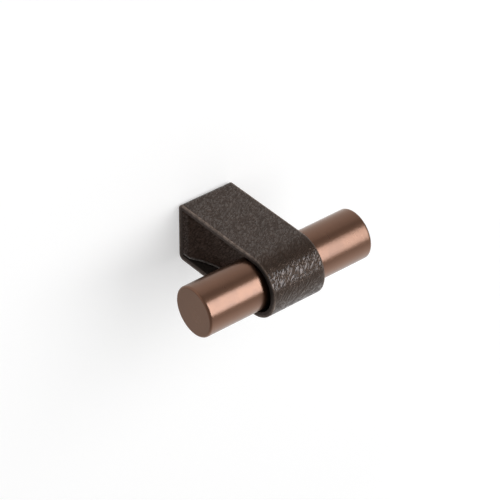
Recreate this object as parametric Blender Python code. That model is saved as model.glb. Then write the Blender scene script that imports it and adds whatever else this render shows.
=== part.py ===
"""Cabinet knob: a round metal bar held by a leather strap that is folded over a flared core block.

Frame: X runs along the bar, Z points away from the cabinet front, and the strap's flat back lies on Z = 0.
The origin is the centre of that mounting face, on the axis of the fixing screw.
"""

import math

import bmesh
import bpy

MM = 0.001

# Bar
BAR_DIAMETER = 14.0 * MM
BAR_LENGTH = 53.0 * MM
BAR_EDGE_RADIUS = 0.6 * MM
BAR_AXIS_HEIGHT = 29.2 * MM
BAR_HOLE_DEPTH = 8.0 * MM
BAR_HOLE_POINT_ANGLE = math.radians(118.0)

# Leather strap
STRAP_WIDTH = 16.7 * MM
STRAP_THICKNESS = 1.6 * MM
STRAP_SLACK = 0.8 * MM
STRAP_EDGE_RADIUS = 0.2 * MM
FOLD_INNER_RADIUS = 0.3 * MM
FOLD_OUTER_RADIUS = 1.3 * MM
SEAM_OFFSET = 5.2 * MM
SEAM_GAP = 0.1 * MM
STRAP_HOLE_DIAMETER = 5.0 * MM

# Core block, with its widths measured over both leather facings
FOOT_WIDTH = 15.6 * MM
FOOT_HEIGHT = 2.2 * MM
NECK_WIDTH = 8.4 * MM
NECK_START_HEIGHT = 18.0 * MM
CRADLE_DROP = 3.8 * MM

# Leather facings on the two flared sides
FACING_THICKNESS = 0.6 * MM
SKIVE_WIDTH = 0.7 * MM
SKIVE_DEPTH = 0.35 * MM

# Screw that draws the bar down into the core's cradle
SCREW_DIAMETER = 4.0 * MM
SCREW_HEAD_DIAMETER = 7.0 * MM
SCREW_HEAD_HEIGHT = 2.8 * MM
SCREW_SEAT_HEIGHT = 9.4 * MM
SCREW_ENGAGEMENT = 6.5 * MM
SCREW_POINT_CHAMFER = 0.5 * MM
HEX_ACROSS_FLATS = 3.0 * MM
HEX_DEPTH = 1.6 * MM
HEX_SIDES = 6

# Threaded insert for the cabinet screw
INSERT_DIAMETER = 8.0 * MM
INSERT_LENGTH = 4.0 * MM
INSERT_BORE_DIAMETER = 3.4 * MM
INSERT_MOUTH_CHAMFER = 0.5 * MM
INSERT_EDGE_CHAMFER = 0.3 * MM
INSERT_GROOVE_WIDTH = 0.8 * MM
INSERT_GROOVE_DEPTH = 0.4 * MM

# Clearances
BAR_CLEARANCE = 0.2 * MM
CORE_CLEARANCE = 0.2 * MM
GLUE_GAP = 0.2 * MM
SCREW_CLEARANCE = 0.2 * MM
HEAD_CLEARANCE = 0.3 * MM
INSERT_CLEARANCE = 0.15 * MM

# Smoothness
ROUND_SEGMENTS = 72
HOLE_SEGMENTS = 36
BEND_SEGMENTS = 48
FOLD_SEGMENTS = 8
EDGE_SEGMENTS = 4
FLARE_SEGMENTS = 16
SMOOTH_ANGLE = math.radians(32.0)
OVERCUT = 1.0 * MM

# Sizes that follow from the ones above
BAR_RADIUS = BAR_DIAMETER / 2
INNER_HALF = BAR_RADIUS + BAR_CLEARANCE
OUTER_HALF = INNER_HALF + STRAP_THICKNESS
BEND_HEIGHT = BAR_AXIS_HEIGHT + STRAP_SLACK
CORE_BOTTOM = STRAP_THICKNESS + CORE_CLEARANCE
CORE_TOP = BAR_AXIS_HEIGHT - CRADLE_DROP
CORE_HALF_DEPTH = INNER_HALF - CORE_CLEARANCE
CRADLE_RADIUS = BAR_RADIUS + BAR_CLEARANCE
BAR_UNDERSIDE = BAR_AXIS_HEIGHT - BAR_RADIUS

# Colours as linear red, green and blue, with metallic and roughness values
BAR_FINISH = ((0.36, 0.22, 0.15), 1.0, 0.34)
LEATHER_FINISH = ((0.055, 0.042, 0.036), 0.0, 0.55)
FACING_FINISH = ((0.040, 0.028, 0.024), 0.0, 0.60)
CORE_FINISH = ((0.30, 0.30, 0.31), 1.0, 0.50)
STEEL_FINISH = ((0.55, 0.56, 0.58), 1.0, 0.35)
BRASS_FINISH = ((0.62, 0.46, 0.20), 1.0, 0.32)


def make_material(name, finish):
    """Return a material of one colour."""
    color, metallic, roughness = finish
    material = bpy.data.materials.new(name)
    material.use_nodes = True
    shader = material.node_tree.nodes["Principled BSDF"]
    shader.inputs["Base Color"].default_value = (*color, 1.0)
    shader.inputs["Metallic"].default_value = metallic
    shader.inputs["Roughness"].default_value = roughness
    material.diffuse_color = (*color, 1.0)
    return material


def link_mesh(name, bm, material=None, location=(0.0, 0.0, 0.0), parent=None):
    """Turn a bmesh into a smooth-shaded object with outward faces."""
    bmesh.ops.recalc_face_normals(bm, faces=bm.faces)
    mesh = bpy.data.meshes.new(name)
    bm.to_mesh(mesh)
    bm.free()
    mesh.shade_smooth()
    mesh.set_sharp_from_angle(angle=SMOOTH_ANGLE)
    obj = bpy.data.objects.new(name, mesh)
    if material is not None:
        mesh.materials.append(material)
    bpy.context.scene.collection.objects.link(obj)
    obj.parent = parent
    obj.location = location
    return obj


def loft(rings):
    """Join rings with equal numbers of points by quads and close both ends."""
    bm = bmesh.new()
    loops = [[bm.verts.new(point) for point in ring] for ring in rings]
    count = len(rings[0])
    for low, high in zip(loops, loops[1:]):
        for i in range(count):
            j = (i + 1) % count
            bm.faces.new((low[i], low[j], high[j], high[i]))
    bm.faces.new(loops[0])
    bm.faces.new(loops[-1])
    return bm


def turned(profile, segments, axis="Z"):
    """Spin a profile of (radius, height) pairs about an axis; a radius of 0 ends in a point."""
    bm = bmesh.new()

    def place(radius, height, angle):
        across, along = radius * math.cos(angle), radius * math.sin(angle)
        return (height, across, along) if axis == "X" else (across, along, height)

    loops = []
    for radius, height in profile:
        if radius == 0.0:
            loops.append([bm.verts.new(place(0.0, height, 0.0))])
        else:
            angles = [2 * math.pi * i / segments for i in range(segments)]
            loops.append([bm.verts.new(place(radius, height, angle)) for angle in angles])
    for low, high in zip(loops, loops[1:]):
        for i in range(segments):
            j = (i + 1) % segments
            if len(low) == 1:
                bm.faces.new((low[0], high[j], high[i]))
            elif len(high) == 1:
                bm.faces.new((low[i], low[j], high[0]))
            else:
                bm.faces.new((low[i], low[j], high[j], high[i]))
    if len(loops[0]) > 1:
        bm.faces.new(loops[0])
    if len(loops[-1]) > 1:
        bm.faces.new(loops[-1])
    return bm


def arc(center, radius, start, end, segments):
    """Return points on an arc in a plane, with angles in degrees."""
    points = []
    for i in range(segments + 1):
        angle = math.radians(start + (end - start) * i / segments)
        points.append((center[0] + radius * math.cos(angle), center[1] + radius * math.sin(angle)))
    return points


def cut(target, cutter):
    """Subtract a guide object from a piece."""
    cutter.hide_render = True
    cutter.display_type = "WIRE"
    modifier = target.modifiers.new(cutter.name, "BOOLEAN")
    modifier.operation = "DIFFERENCE"
    modifier.solver = "EXACT"
    modifier.object = cutter


def bore_cutter(name, diameter, bottom, top, parent):
    """Return a round cutter along the screw axis."""
    profile = [(diameter / 2, bottom), (diameter / 2, top)]
    return link_mesh(name, turned(profile, HOLE_SEGMENTS), parent=parent)


def cradle_cutter(name, parent):
    """Return the cylinder that leaves a seat for the bar."""
    reach = FOOT_WIDTH / 2 + OVERCUT
    profile = [(CRADLE_RADIUS, -reach), (CRADLE_RADIUS, reach)]
    bm = turned(profile, ROUND_SEGMENTS, axis="X")
    return link_mesh(name, bm, location=(0.0, 0.0, BAR_AXIS_HEIGHT), parent=parent)


def half_width(height):
    """Return the half width over the facings at a height: a straight foot, a hollow flare, a straight neck."""
    foot_top = CORE_BOTTOM + FOOT_HEIGHT
    if height <= foot_top:
        return FOOT_WIDTH / 2
    if height >= NECK_START_HEIGHT:
        return NECK_WIDTH / 2
    rise = NECK_START_HEIGHT - foot_top
    draw_in = (FOOT_WIDTH - NECK_WIDTH) / 2
    radius = (rise ** 2 + draw_in ** 2) / (2 * draw_in)
    return NECK_WIDTH / 2 + radius - math.sqrt(radius ** 2 - (NECK_START_HEIGHT - height) ** 2)


def flare_heights():
    """Return the heights at which the core's sides are given points."""
    foot_top = CORE_BOTTOM + FOOT_HEIGHT
    rise = NECK_START_HEIGHT - foot_top
    flare = [foot_top + rise * i / FLARE_SEGMENTS for i in range(FLARE_SEGMENTS + 1)]
    return [CORE_BOTTOM, *flare, CORE_TOP]


def strap_face(depth, fold_radius):
    """Return one face of the strap in the YZ plane, from one end of the strip to the other."""
    half = OUTER_HALF - depth
    fold_y = half - fold_radius
    fold_z = depth + fold_radius
    points = [(SEAM_OFFSET + SEAM_GAP / 2, depth)]
    points += arc((fold_y, fold_z), fold_radius, -90.0, 0.0, FOLD_SEGMENTS)
    points += arc((0.0, BEND_HEIGHT), half, 0.0, 180.0, BEND_SEGMENTS)
    points += arc((-fold_y, fold_z), fold_radius, 180.0, 270.0, FOLD_SEGMENTS)
    points.append((SEAM_OFFSET - SEAM_GAP / 2, depth))
    return points


def strap_section(inset):
    """Return the strap's outer and inner face, thinned by an inset on both faces."""
    outer = strap_face(inset, FOLD_OUTER_RADIUS - inset)
    inner = strap_face(STRAP_THICKNESS - inset, FOLD_INNER_RADIUS + inset)
    return outer, inner


def build_strap(material, parent):
    """Fold one strip around the bar and the core; its ends meet under the core."""
    stations = []
    for i in range(EDGE_SEGMENTS + 1):
        angle = math.pi / 2 * i / EDGE_SEGMENTS
        inset = STRAP_EDGE_RADIUS * (1 - math.sin(angle))
        stations.append((STRAP_WIDTH / 2 - STRAP_EDGE_RADIUS * (1 - math.cos(angle)), inset))
    stations = [(-x, inset) for x, inset in stations] + [(x, inset) for x, inset in reversed(stations)]
    bm = bmesh.new()
    rings = []
    for x, inset in stations:
        outer, inner = strap_section(inset)
        ring = [bm.verts.new((x, y, z)) for y, z in outer + inner[::-1]]
        rings.append(ring)
    count = len(rings[0])
    for near, far in zip(rings, rings[1:]):
        for i in range(count):
            j = (i + 1) % count
            bm.faces.new((near[i], near[j], far[j], far[i]))
    for ring in (rings[0], rings[-1]):
        for i in range(count // 2 - 1):
            bm.faces.new((ring[i], ring[i + 1], ring[count - 2 - i], ring[count - 1 - i]))
    strap = link_mesh("leather_strap", bm, material, parent=parent)
    cut(strap, bore_cutter("strap_hole_cutter", STRAP_HOLE_DIAMETER, -OVERCUT, STRAP_THICKNESS + OVERCUT, parent))
    return strap


def build_bar(material, parent):
    """Turn the bar with eased end edges and drill the blind hole for its screw."""
    half = BAR_LENGTH / 2
    right = arc((half - BAR_EDGE_RADIUS, BAR_RADIUS - BAR_EDGE_RADIUS), BAR_EDGE_RADIUS, 90.0, 0.0, EDGE_SEGMENTS)
    profile = [(radius, x) for x, radius in right]
    profile = [(radius, -x) for radius, x in reversed(profile)] + profile
    bar = link_mesh("bar", turned(profile, ROUND_SEGMENTS, axis="X"), material,
                    location=(0.0, 0.0, BAR_AXIS_HEIGHT), parent=parent)
    radius = SCREW_DIAMETER / 2 + SCREW_CLEARANCE
    hole_top = BAR_UNDERSIDE + BAR_HOLE_DEPTH
    point = radius / math.tan(BAR_HOLE_POINT_ANGLE / 2)
    hole = turned([(radius, BAR_UNDERSIDE - OVERCUT), (radius, hole_top - point), (0.0, hole_top)], HOLE_SEGMENTS)
    cut(bar, link_mesh("bar_hole_cutter", hole, parent=parent))
    return bar


def build_core(material, parent):
    """Cast the flared block with a cradle for the bar and a stepped bore for insert and screw."""
    rings = []
    for z in flare_heights():
        x = half_width(z) - FACING_THICKNESS - GLUE_GAP
        y = CORE_HALF_DEPTH
        rings.append([(-x, -y, z), (x, -y, z), (x, y, z), (-x, y, z)])
    core = link_mesh("core_block", loft(rings), material, parent=parent)
    cut(core, cradle_cutter("core_cradle_cutter", parent))
    steps = turned([
        (INSERT_DIAMETER / 2 + INSERT_CLEARANCE, CORE_BOTTOM - OVERCUT),
        (INSERT_DIAMETER / 2 + INSERT_CLEARANCE, CORE_BOTTOM + INSERT_LENGTH + INSERT_CLEARANCE),
        (SCREW_HEAD_DIAMETER / 2 + HEAD_CLEARANCE, CORE_BOTTOM + INSERT_LENGTH + INSERT_CLEARANCE),
        (SCREW_HEAD_DIAMETER / 2 + HEAD_CLEARANCE, SCREW_SEAT_HEIGHT),
        (SCREW_DIAMETER / 2 + SCREW_CLEARANCE, SCREW_SEAT_HEIGHT),
        (SCREW_DIAMETER / 2 + SCREW_CLEARANCE, CORE_TOP + OVERCUT),
    ], HOLE_SEGMENTS)
    cut(core, link_mesh("core_bore_cutter", steps, parent=parent))
    return core


def build_facing(name, side, material, parent):
    """Lay a leather sheet on one flared side, with its two long edges skived thin."""
    rings = []
    y = CORE_HALF_DEPTH
    for z in flare_heights():
        x = half_width(z)
        section = [
            (x - FACING_THICKNESS, -y),
            (x - SKIVE_DEPTH, -y),
            (x, -y + SKIVE_WIDTH),
            (x, y - SKIVE_WIDTH),
            (x - SKIVE_DEPTH, y),
            (x - FACING_THICKNESS, y),
        ]
        rings.append([(side * px, py, z) for px, py in section])
    facing = link_mesh(name, loft(rings), material, parent=parent)
    cut(facing, cradle_cutter(name + "_cradle_cutter", parent))
    return facing


def build_screw(material, parent):
    """Turn the screw that passes up through the core into the bar."""
    head_top = SCREW_SEAT_HEIGHT - SCREW_CLEARANCE
    head_bottom = head_top - SCREW_HEAD_HEIGHT
    tip = BAR_UNDERSIDE + SCREW_ENGAGEMENT
    shank = SCREW_DIAMETER / 2
    profile = [
        (SCREW_HEAD_DIAMETER / 2, head_bottom),
        (SCREW_HEAD_DIAMETER / 2, head_top),
        (shank, head_top),
        (shank, tip - SCREW_POINT_CHAMFER),
        (shank - SCREW_POINT_CHAMFER, tip),
    ]
    screw = link_mesh("bar_screw", turned(profile, HOLE_SEGMENTS), material, parent=parent)
    corner_radius = HEX_ACROSS_FLATS / math.sqrt(3.0)
    profile = [(corner_radius, head_bottom - OVERCUT), (corner_radius, head_bottom + HEX_DEPTH)]
    socket = turned(profile, HEX_SIDES)
    cut(screw, link_mesh("hex_socket_cutter", socket, parent=parent))
    return screw


def build_insert(material, parent):
    """Turn the grooved brass sleeve that takes the cabinet screw."""
    outer = INSERT_DIAMETER / 2
    bore = INSERT_BORE_DIAMETER / 2
    bottom = CORE_BOTTOM
    top = CORE_BOTTOM + INSERT_LENGTH
    middle = (bottom + top) / 2
    groove = outer - INSERT_GROOVE_DEPTH
    rings = [
        (bore + INSERT_MOUTH_CHAMFER, bottom),
        (outer - INSERT_EDGE_CHAMFER, bottom),
        (outer, bottom + INSERT_EDGE_CHAMFER),
        (outer, middle - INSERT_GROOVE_WIDTH / 2),
        (groove, middle - INSERT_GROOVE_WIDTH / 2),
        (groove, middle + INSERT_GROOVE_WIDTH / 2),
        (outer, middle + INSERT_GROOVE_WIDTH / 2),
        (outer, top - INSERT_EDGE_CHAMFER),
        (outer - INSERT_EDGE_CHAMFER, top),
        (bore, top),
        (bore, bottom + INSERT_MOUTH_CHAMFER),
    ]
    bm = bmesh.new()
    loops = []
    for radius, z in rings:
        angles = [2 * math.pi * i / HOLE_SEGMENTS for i in range(HOLE_SEGMENTS)]
        loops.append([bm.verts.new((radius * math.cos(a), radius * math.sin(a), z)) for a in angles])
    for k, low in enumerate(loops):
        high = loops[(k + 1) % len(loops)]
        for i in range(HOLE_SEGMENTS):
            j = (i + 1) % HOLE_SEGMENTS
            bm.faces.new((low[i], low[j], high[j], high[i]))
    return link_mesh("threaded_insert", bm, material, parent=parent)


def main():
    """Clear the scene and build every piece under one empty at the mounting face."""
    for obj in list(bpy.data.objects):
        bpy.data.objects.remove(obj, do_unlink=True)
    root = bpy.data.objects.new("knob", None)
    bpy.context.scene.collection.objects.link(root)
    leather = make_material("strap_leather", LEATHER_FINISH)
    facing_leather = make_material("facing_leather", FACING_FINISH)
    build_bar(make_material("bar_metal", BAR_FINISH), root)
    build_strap(leather, root)
    build_core(make_material("core_metal", CORE_FINISH), root)
    build_facing("side_facing_right", 1, facing_leather, root)
    build_facing("side_facing_left", -1, facing_leather, root)
    build_screw(make_material("screw_steel", STEEL_FINISH), root)
    build_insert(make_material("insert_brass", BRASS_FINISH), root)


main()
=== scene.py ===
"""Cabinet knob, dressed: a satin copper bar in a folded leather strap, over a leather-faced core block.

Every size is in metres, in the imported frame: X along the bar, Z away from the cabinet front,
and the origin on the screw axis in the mounting face. The model stands on that face.
"""

import logging
import math
from dataclasses import dataclass
from enum import Enum
from functools import cache
from typing import Any, Optional, Sequence

import bmesh
import bpy
from mathutils import Matrix, Vector


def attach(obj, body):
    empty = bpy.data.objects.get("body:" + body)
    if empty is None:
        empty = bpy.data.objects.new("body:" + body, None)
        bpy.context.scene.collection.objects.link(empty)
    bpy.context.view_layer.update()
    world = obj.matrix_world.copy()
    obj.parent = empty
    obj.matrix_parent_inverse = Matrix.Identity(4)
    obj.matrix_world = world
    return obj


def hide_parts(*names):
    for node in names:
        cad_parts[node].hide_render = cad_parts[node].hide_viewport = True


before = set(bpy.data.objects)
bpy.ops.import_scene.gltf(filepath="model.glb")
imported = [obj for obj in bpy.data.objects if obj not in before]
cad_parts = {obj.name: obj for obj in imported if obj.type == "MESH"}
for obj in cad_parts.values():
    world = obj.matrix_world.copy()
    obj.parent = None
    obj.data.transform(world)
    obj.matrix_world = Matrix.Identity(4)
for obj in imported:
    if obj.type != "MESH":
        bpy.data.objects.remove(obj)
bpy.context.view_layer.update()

MM = 0.001
PLACE = "hide_place"
BODY = "root"
LEATHER_SHARP = 50.0

log = logging.getLogger("cabinet_knob")


class Part(Enum):
    """Names of the pieces that are built here."""

    STRAP = "leather_strap_dressed"
    BAR = "bar_dressed"
    RIGHT_FACING = "side_facing_right_dressed"
    LEFT_FACING = "side_facing_left_dressed"
    SCREW = "bar_screw_dressed"
    INSERT = "threaded_insert_dressed"


class Side(Enum):
    """The two flared sides of the core block, by the sign of X."""

    RIGHT = 1
    LEFT = -1


# ---------------------------------------------------------------------------
# Node trees
# ---------------------------------------------------------------------------


# Where a Mix node keeps its first value and its result, by kind of value
MIX_SOCKETS = {"FLOAT": (2, 0), "VECTOR": (4, 1), "RGBA": (6, 2)}


@dataclass
class Bench:
    """A node tree with short ways to place nodes and join them."""

    tree: bpy.types.NodeTree

    def feed(self, socket: bpy.types.NodeSocket, value: Any) -> None:
        """Join a socket to another one, or set its constant value.

        Args:
            socket: The input to feed.
            value: An output socket, or a constant.
        """
        if isinstance(value, bpy.types.NodeSocket):
            self.tree.links.new(value, socket)
        else:
            socket.default_value = value

    def fill(self, node: bpy.types.Node, inputs: dict) -> None:
        """Feed several inputs of a node.

        Args:
            node: The node.
            inputs: Values or sockets, by the input's name or number.
        """
        for key, value in inputs.items():
            self.feed(node.inputs[key], value)

    def add(self, kind: str, inputs: Optional[dict] = None, **settings: Any) -> bpy.types.Node:
        """Place a node.

        Args:
            kind: The node's type name.
            inputs: Values or sockets for its inputs, by name or number.
            **settings: The node's own options.

        Returns:
            The new node.
        """
        node = self.tree.nodes.new(kind)
        for name, value in settings.items():
            setattr(node, name, value)
        self.fill(node, inputs or {})
        return node

    def math(self, operation: str, *values: Any, clamp: bool = False) -> bpy.types.NodeSocket:
        """Return the result of a Math node.

        Args:
            operation: The operation's name.
            *values: One to three numbers or sockets.
            clamp: Whether the result is kept within 0 and 1.

        Returns:
            The node's output.
        """
        node = self.add("ShaderNodeMath", dict(enumerate(values)), operation=operation, use_clamp=clamp)
        return node.outputs[0]

    def vector(self, operation: str, *values: Any, scale: Any = None) -> bpy.types.NodeSocket:
        """Return the vector result of a Vector Math node.

        Args:
            operation: The operation's name.
            *values: One to three vectors or sockets.
            scale: The factor of a SCALE operation.

        Returns:
            The node's vector output.
        """
        node = self.add("ShaderNodeVectorMath", dict(enumerate(values)), operation=operation)
        if scale is not None:
            self.feed(node.inputs["Scale"], scale)
        return node.outputs["Vector"]

    def blend(self, factor: Any, first: Any, second: Any, kind: str = "RGBA") -> bpy.types.NodeSocket:
        """Return a colour, number or vector between two others.

        Args:
            factor: 0 for the first, 1 for the second.
            first: A value or socket.
            second: A value or socket.
            kind: "RGBA", "FLOAT" or "VECTOR".

        Returns:
            The mixed value.
        """
        low, result = MIX_SOCKETS[kind]
        node = self.add("ShaderNodeMix", {0: factor, low: first, low + 1: second}, data_type=kind)
        return node.outputs[result]

    def remap(self, value: Any, start: Any, end: Any, low: Any, high: Any) -> bpy.types.NodeSocket:
        """Return a value moved smoothly from one range to another, and kept in it.

        Args:
            value: The number to move.
            start: Where the first range begins.
            end: Where the first range ends.
            low: The result at start.
            high: The result at end.

        Returns:
            The moved value.
        """
        node = self.add("ShaderNodeMapRange", {0: value, 1: start, 2: end, 3: low, 4: high},
                        interpolation_type="SMOOTHSTEP")
        return node.outputs[0]

    def group(self, tree: bpy.types.NodeTree, inputs: dict) -> bpy.types.Node:
        """Place a shader node group.

        Args:
            tree: The group's tree.
            inputs: Values or sockets for its inputs, by name.

        Returns:
            The group node.
        """
        node = self.add("ShaderNodeGroup", node_tree=tree)
        self.fill(node, inputs)
        return node

    def noise(self, place: Any, scale: float, detail: float, roughness: float = 0.5) -> bpy.types.NodeSocket:
        """Return the value of a noise.

        Args:
            place: The vector that it is read at.
            scale: How fine it is.
            detail: How many finer layers it has.
            roughness: How strong the finer layers are.

        Returns:
            The value, around 0.5.
        """
        return self.add("ShaderNodeTexNoise", {
            "Vector": place, "Scale": scale, "Detail": detail, "Roughness": roughness}).outputs["Fac"]

    def axes(self, vector: Any) -> Any:
        """Return a vector's three numbers as sockets."""
        return self.add("ShaderNodeSeparateXYZ", {0: vector}).outputs

    def join(self, x: Any, y: Any, z: Any) -> bpy.types.NodeSocket:
        """Return the vector of three numbers or sockets."""
        return self.add("ShaderNodeCombineXYZ", {0: x, 1: y, 2: z}).outputs[0]

    def dot(self, first: Any, second: Any) -> bpy.types.NodeSocket:
        """Return the dot product of two vectors or sockets."""
        return self.add("ShaderNodeVectorMath", {0: first, 1: second}, operation="DOT_PRODUCT").outputs["Value"]

    def emboss(self, shader: bpy.types.Node, height: Any, distance: float, strength: float = 1.0) -> None:
        """Feed a shader's normal from a height.

        Args:
            shader: The shader.
            height: The height's socket.
            distance: How deep a height of 1 is.
            strength: How much of the relief shows.
        """
        bump = self.add("ShaderNodeBump", {"Height": height, "Distance": distance, "Strength": strength})
        self.feed(shader.inputs["Normal"], bump.outputs["Normal"])


SOCKETS = {
    "float": "NodeSocketFloat",
    "int": "NodeSocketInt",
    "vector": "NodeSocketVector",
    "colour": "NodeSocketColor",
    "geometry": "NodeSocketGeometry",
    "material": "NodeSocketMaterial",
}


def open_tree(name: str, kind: str, inputs: dict, outputs: dict) -> tuple[Bench, Any, Any]:
    """Make a node group with named sockets.

    Args:
        name: The group's name.
        kind: "ShaderNodeTree" or "GeometryNodeTree".
        inputs: Pairs of socket kind and default value, by name.
        outputs: Socket kinds, by name.

    Returns:
        The bench for the new tree, the sockets that give its inputs, and those that take its outputs.
    """
    tree = bpy.data.node_groups.new(name, kind)
    for label, (socket_kind, value) in inputs.items():
        socket = tree.interface.new_socket(label, in_out="INPUT", socket_type=SOCKETS[socket_kind])
        if value is not None:
            socket.default_value = value
    for label, socket_kind in outputs.items():
        tree.interface.new_socket(label, in_out="OUTPUT", socket_type=SOCKETS[socket_kind])
    return Bench(tree), tree.nodes.new("NodeGroupInput").outputs, tree.nodes.new("NodeGroupOutput").inputs


def run_tree(obj: bpy.types.Object, tree: bpy.types.NodeTree, values: dict) -> bpy.types.Modifier:
    """Put a geometry tree on an object and set its inputs by identifier.

    Args:
        obj: The object whose mesh the tree reads.
        tree: The geometry tree.
        values: The inputs' values, by name.

    Returns:
        The modifier that runs the tree.
    """
    modifier = obj.modifiers.new(tree.name, "NODES")
    modifier.node_group = tree
    for item in tree.interface.items_tree:
        if item.item_type == "SOCKET" and item.in_out == "INPUT" and item.name in values:
            modifier[item.identifier] = values[item.name]
    return modifier


def settle(obj: bpy.types.Object, sharp_degrees: float = 35.0) -> bpy.types.Object:
    """Turn an object's modifiers into a plain mesh with outward faces.

    Args:
        obj: The object to settle.
        sharp_degrees: Edges that turn more than this stay sharp.

    Returns:
        The same object with its final mesh and no modifiers.
    """
    depsgraph = bpy.context.evaluated_depsgraph_get()
    mesh = bpy.data.meshes.new_from_object(
        obj.evaluated_get(depsgraph), preserve_all_data_layers=True, depsgraph=depsgraph)
    obj.modifiers.clear()
    for slot in reversed([i for i, material in enumerate(mesh.materials) if material is None]):
        mesh.materials.pop(index=slot)
    bm = bmesh.new()
    bm.from_mesh(mesh)
    bmesh.ops.recalc_face_normals(bm, faces=bm.faces)
    bm.to_mesh(mesh)
    bm.free()
    mesh.shade_smooth()
    mesh.set_sharp_from_angle(angle=math.radians(sharp_degrees))
    mesh.name = obj.name
    obj.data = mesh
    return obj


def new_object(name: str, data: Any) -> bpy.types.Object:
    """Return a new object, linked to the scene."""
    obj = bpy.data.objects.new(name, data)
    bpy.context.scene.collection.objects.link(obj)
    return obj


def seed_object(name: str, points: Sequence[Vector], attributes: dict) -> bpy.types.Object:
    """Make an object of loose points that a geometry tree reads its rule from.

    Args:
        name: The object's name.
        points: Where the points are.
        attributes: Lists of numbers or vectors, one value a point, by name.

    Returns:
        The new object, linked to the scene.
    """
    mesh = bpy.data.meshes.new(name)
    mesh.from_pydata([tuple(point) for point in points], [], [])
    for label, values in attributes.items():
        is_vector = isinstance(values[0], Vector)
        layer = mesh.attributes.new(label, "FLOAT_VECTOR" if is_vector else "FLOAT", "POINT")
        for item, value in zip(layer.data, values):
            if is_vector:
                item.vector = value
            else:
                item.value = value
    return new_object(name, mesh)


def cut_away(obj: bpy.types.Object, cutter: bpy.types.Object, sharp_degrees: float = 35.0) -> None:
    """Subtract a cutter from an object, settle the object and remove the cutter.

    Args:
        obj: The object to cut.
        cutter: A closed body.
        sharp_degrees: Edges that turn more than this stay sharp.
    """
    cutter.hide_render = True
    modifier = obj.modifiers.new(cutter.name, "BOOLEAN")
    modifier.operation = "DIFFERENCE"
    modifier.solver = "EXACT"
    modifier.object = cutter
    settle(obj, sharp_degrees)
    bpy.data.objects.remove(cutter)


def register(obj: bpy.types.Object, slot: str, *nodes: str) -> bpy.types.Object:
    """Let a finished piece ride on the body and stand for its CAD nodes.

    Args:
        obj: The finished piece.
        slot: Not used.
        *nodes: The CAD nodes that it stands for.

    Returns:
        The same piece.
    """
    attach(obj, BODY)
    if nodes:
        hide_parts(*nodes)
    log.info("%s: %d faces", obj.name, len(obj.data.polygons))
    return obj


# ---------------------------------------------------------------------------
# Shader groups that several finishes share
# ---------------------------------------------------------------------------


# How fine each noise is, in waves a metre
MOTTLE_SCALE = 260.0
PATCH_SCALE = 900.0
SHRED_SCALE = 1500.0
NAP_SCALE = 3200.0
FIBRE_SCALE = 4200.0

# What each layer adds to the grain's height
FOLD_SHARE = 0.65
PEBBLE_SHARE = 0.35
FINE_SHARE = 0.60

RIM_RAGGEDNESS = 1.6


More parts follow.
